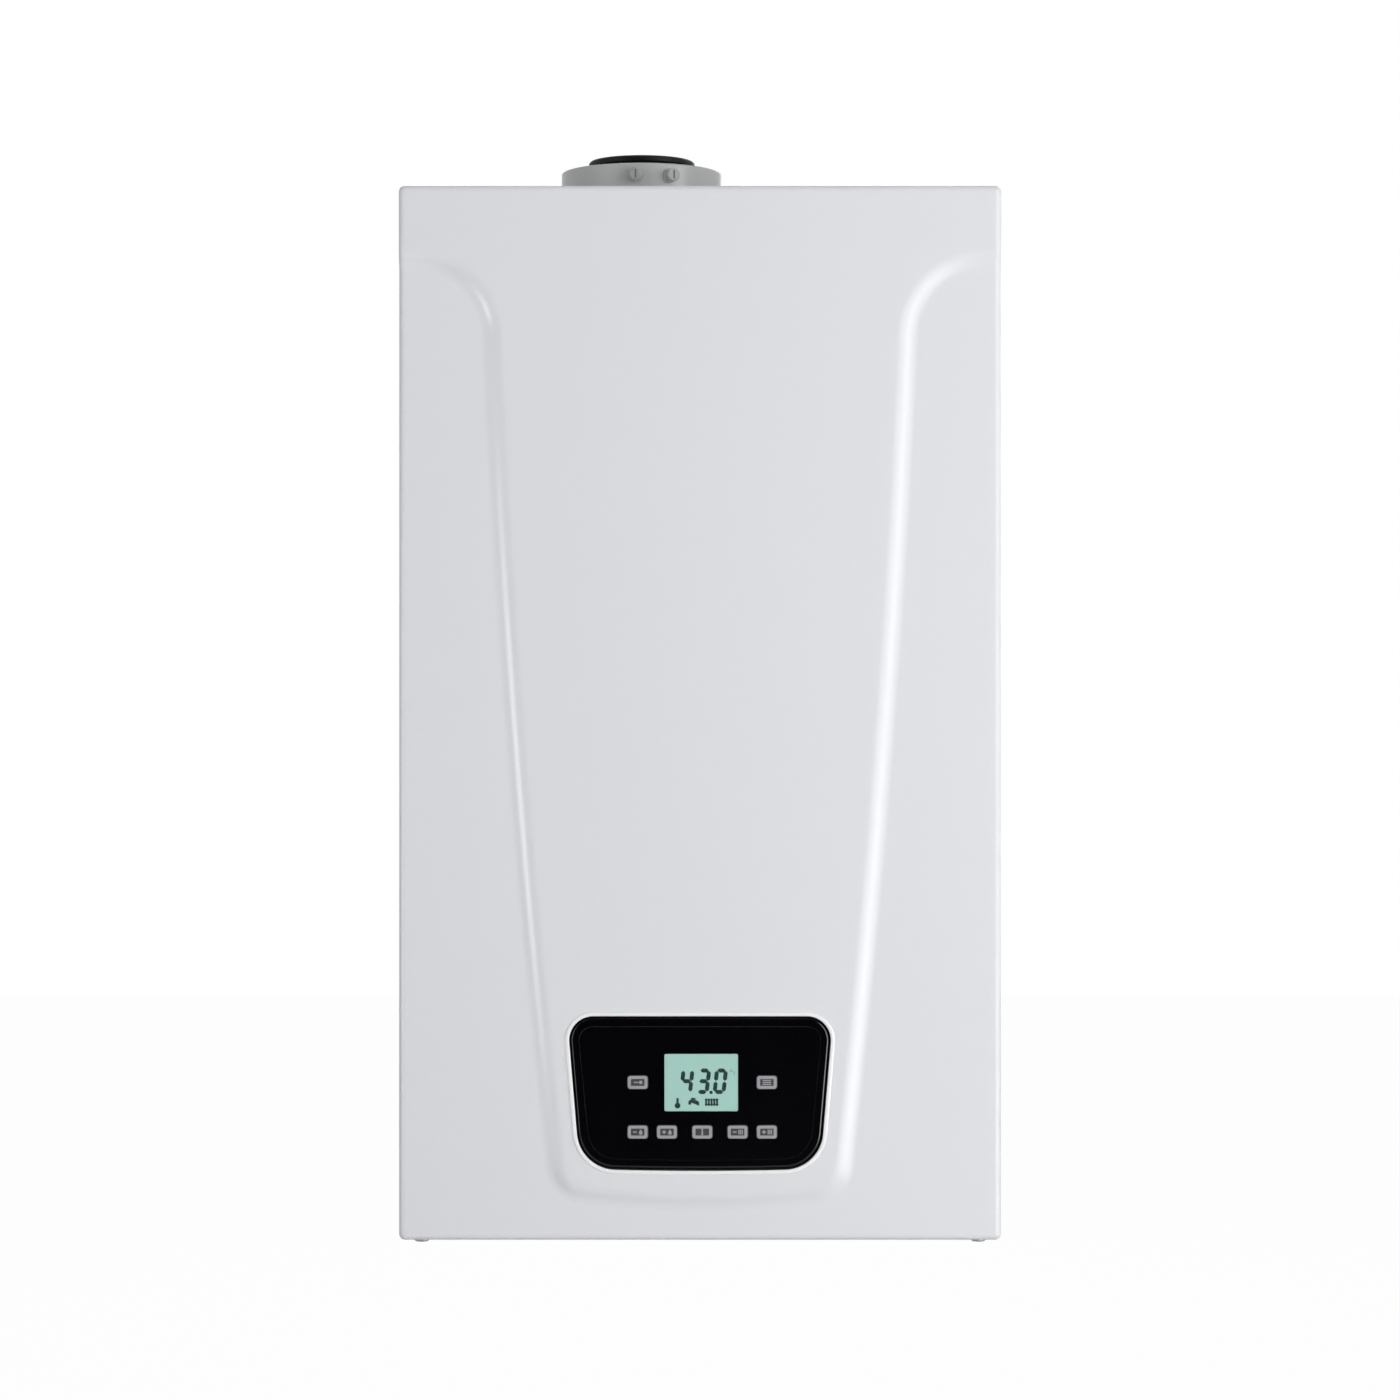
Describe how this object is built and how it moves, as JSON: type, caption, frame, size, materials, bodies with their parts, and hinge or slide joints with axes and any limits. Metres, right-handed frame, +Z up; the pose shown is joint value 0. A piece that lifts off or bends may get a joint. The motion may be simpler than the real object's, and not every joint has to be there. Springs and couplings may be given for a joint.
{
  "type": "combi boiler",
  "caption": "Wall-hung condensing combi boiler: white case with a pressed front cover, a black control panel, a concentric flue collar and the working parts inside.",
  "frame": {"origin": "middle of the bottom edge of the casing's back, on the wall", "axes": "+Z up, -Y out of the wall towards the user (the front), +X to the right seen from the front"},
  "size_m": [0.4, 0.2999, 0.756],
  "materials": {
    "case_paint": "satin white powder coat",
    "frame_zinc": "galvanised sheet, dull",
    "collar_grey": "grey moulded plastic, satin",
    "seal_rubber": "matt black",
    "plug_black": "matt black",
    "stainless": "brushed stainless",
    "cast_aluminium": "as cast, matt",
    "vessel_red": "gloss red paint",
    "fastener_zinc": "bright zinc plating",
    "ceramic_white": "unglazed white",
    "duct_black": "matt black, glass filled",
    "motor_black": "satin black",
    "copper": "drawn copper, slightly dulled",
    "brass": "machined brass",
    "cast_iron": "painted black casting",
    "valve_grey": "die cast, fine grain",
    "knob_blue": "satin blue",
    "knob_red": "satin red",
    "trap_white": "translucent white, matt",
    "hose_grey": "matt grey",
    "box_grey": "fine-textured dark grey",
    "fascia_black": "gloss black",
    "display": "pale green backlit display",
    "key_grey": "satin charcoal with pale marks",
    "mat_rubber": "matt grey silicone",
    "board_green": "solder mask over glass fibre",
    "needle_red": "satin red"
  },
  "bodies": {
    "boiler": {"back_frame": "frame_zinc", "side_panel_left": "case_paint", "side_panel_right": "case_paint", "top_plate": "case_paint", "connection_plate": "frame_zinc", "support_rail": "frame_zinc", "wall_bracket": "frame_zinc", "flue_collar": "collar_grey", "flue_seal": "seal_rubber", "flue_duct": "stainless", "expansion_vessel": "vessel_red", "heat_cell": "stainless", "heat_coil": "stainless", "burner_door": "cast_aluminium", "door_nuts": "fastener_zinc", "burner": "stainless", "electrodes": "ceramic_white", "fan_housing": "cast_aluminium", "fan_motor": "motor_black", "premix_duct": "cast_aluminium", "gas_air_mixer": "duct_black", "air_silencer": "duct_black", "gas_valve": "valve_grey", "gas_pipes": "copper", "pipe_tails": "brass", "flow_block": "brass", "diverter_motor": "motor_black", "return_block": "brass", "pump_motor": "cast_iron", "plate_exchanger": "stainless", "heating_pipes": "copper", "air_vent": "brass", "safety_valve": "brass", "filling_tap": "brass", "pressure_gauge": "duct_black", "condensate_trap": "trap_white", "condensate_hose": "hose_grey"},
    "front_cover": {"front_cover": "case_paint", "cover_screws": "fastener_zinc"},
    "control_box": {"control_housing": "box_grey", "control_fascia": "fascia_black", "display_glass": "display", "key_mat": "mat_rubber", "control_board": "board_green", "main_board": "board_green", "control_back_cover": "box_grey"},
    "fan_impeller": {"fan_impeller": "cast_aluminium"},
    "air_vent_cap": {"air_vent_cap": "duct_black"},
    "safety_valve_knob": {"safety_valve_knob": "knob_red"},
    "filling_tap_knob": {"filling_tap_knob": "knob_blue"},
    "gauge_needle": {"gauge_needle": "needle_red"},
    "test_plug_left": {"test_plug_left": "plug_black"},
    "test_plug_right": {"test_plug_right": "plug_black"},
    "key_reset": {"key_reset": "key_grey"},
    "key_mode": {"key_mode": "key_grey"},
    "key_water_less": {"key_water_less": "key_grey"},
    "key_water_more": {"key_water_more": "key_grey"},
    "key_info": {"key_info": "key_grey"},
    "key_heating_less": {"key_heating_less": "key_grey"},
    "key_heating_more": {"key_heating_more": "key_grey"}
  },
  "joints": [
    {"name": "cover_slide", "type": "slide", "parent": "boiler", "child": "front_cover", "axis": [0, -1, 0], "range_m": [0, 0.35]},
    {"name": "control_box_hinge", "type": "hinge", "parent": "boiler", "child": "control_box", "pos_m": [0, -0.252, 0.026], "axis": [1, 0, 0], "range_deg": [0, 75]},
    {"name": "fan_spin", "type": "hinge", "parent": "boiler", "child": "fan_impeller", "pos_m": [0.13, -0.183, 0.58], "axis": [0, 0, 1], "continuous": true},
    {"name": "vent_cap_turn", "type": "hinge", "parent": "boiler", "child": "air_vent_cap", "pos_m": [0.146, -0.1, 0.237], "axis": [0, 0, 1], "range_deg": [0, 360]},
    {"name": "safety_knob_turn", "type": "hinge", "parent": "boiler", "child": "safety_valve_knob", "pos_m": [0.092, -0.161, 0.082], "axis": [0, -1, 0], "range_deg": [0, 90]},
    {"name": "filling_knob_turn", "type": "hinge", "parent": "boiler", "child": "filling_tap_knob", "pos_m": [0.032, -0.128, 0.012], "axis": [0, 0, -1], "range_deg": [0, 90]},
    {"name": "gauge_needle_turn", "type": "hinge", "parent": "boiler", "child": "gauge_needle", "pos_m": [-0.098, -0.158, 0.01], "axis": [0, 0, 1], "range_deg": [-60, 200]},
    {"name": "test_plug_left_pull", "type": "slide", "parent": "boiler", "child": "test_plug_left", "axis": [-0.0523, -0.9986, 0], "range_m": [0, 0.02]},
    {"name": "test_plug_right_pull", "type": "slide", "parent": "boiler", "child": "test_plug_right", "axis": [0.3584, -0.9336, 0], "range_m": [0, 0.02]},
    {"name": "key_reset_press", "type": "slide", "parent": "control_box", "child": "key_reset", "axis": [0, 1, 0], "range_m": [0, 0.0008], "stiffness_N_per_m": 300, "springref_m": -0.001},
    {"name": "key_mode_press", "type": "slide", "parent": "control_box", "child": "key_mode", "axis": [0, 1, 0], "range_m": [0, 0.0008], "stiffness_N_per_m": 300, "springref_m": -0.001},
    {"name": "key_water_less_press", "type": "slide", "parent": "control_box", "child": "key_water_less", "axis": [0, 1, 0], "range_m": [0, 0.0008], "stiffness_N_per_m": 300, "springref_m": -0.001},
    {"name": "key_water_more_press", "type": "slide", "parent": "control_box", "child": "key_water_more", "axis": [0, 1, 0], "range_m": [0, 0.0008], "stiffness_N_per_m": 300, "springref_m": -0.001},
    {"name": "key_info_press", "type": "slide", "parent": "control_box", "child": "key_info", "axis": [0, 1, 0], "range_m": [0, 0.0008], "stiffness_N_per_m": 300, "springref_m": -0.001},
    {"name": "key_heating_less_press", "type": "slide", "parent": "control_box", "child": "key_heating_less", "axis": [0, 1, 0], "range_m": [0, 0.0008], "stiffness_N_per_m": 300, "springref_m": -0.001},
    {"name": "key_heating_more_press", "type": "slide", "parent": "control_box", "child": "key_heating_more", "axis": [0, 1, 0], "range_m": [0, 0.0008], "stiffness_N_per_m": 300, "springref_m": -0.001}
  ],
  "couplings": [
    {"joint": "control_box_hinge", "follows": "cover_slide", "rad_per_m": 3.739}
  ]
}
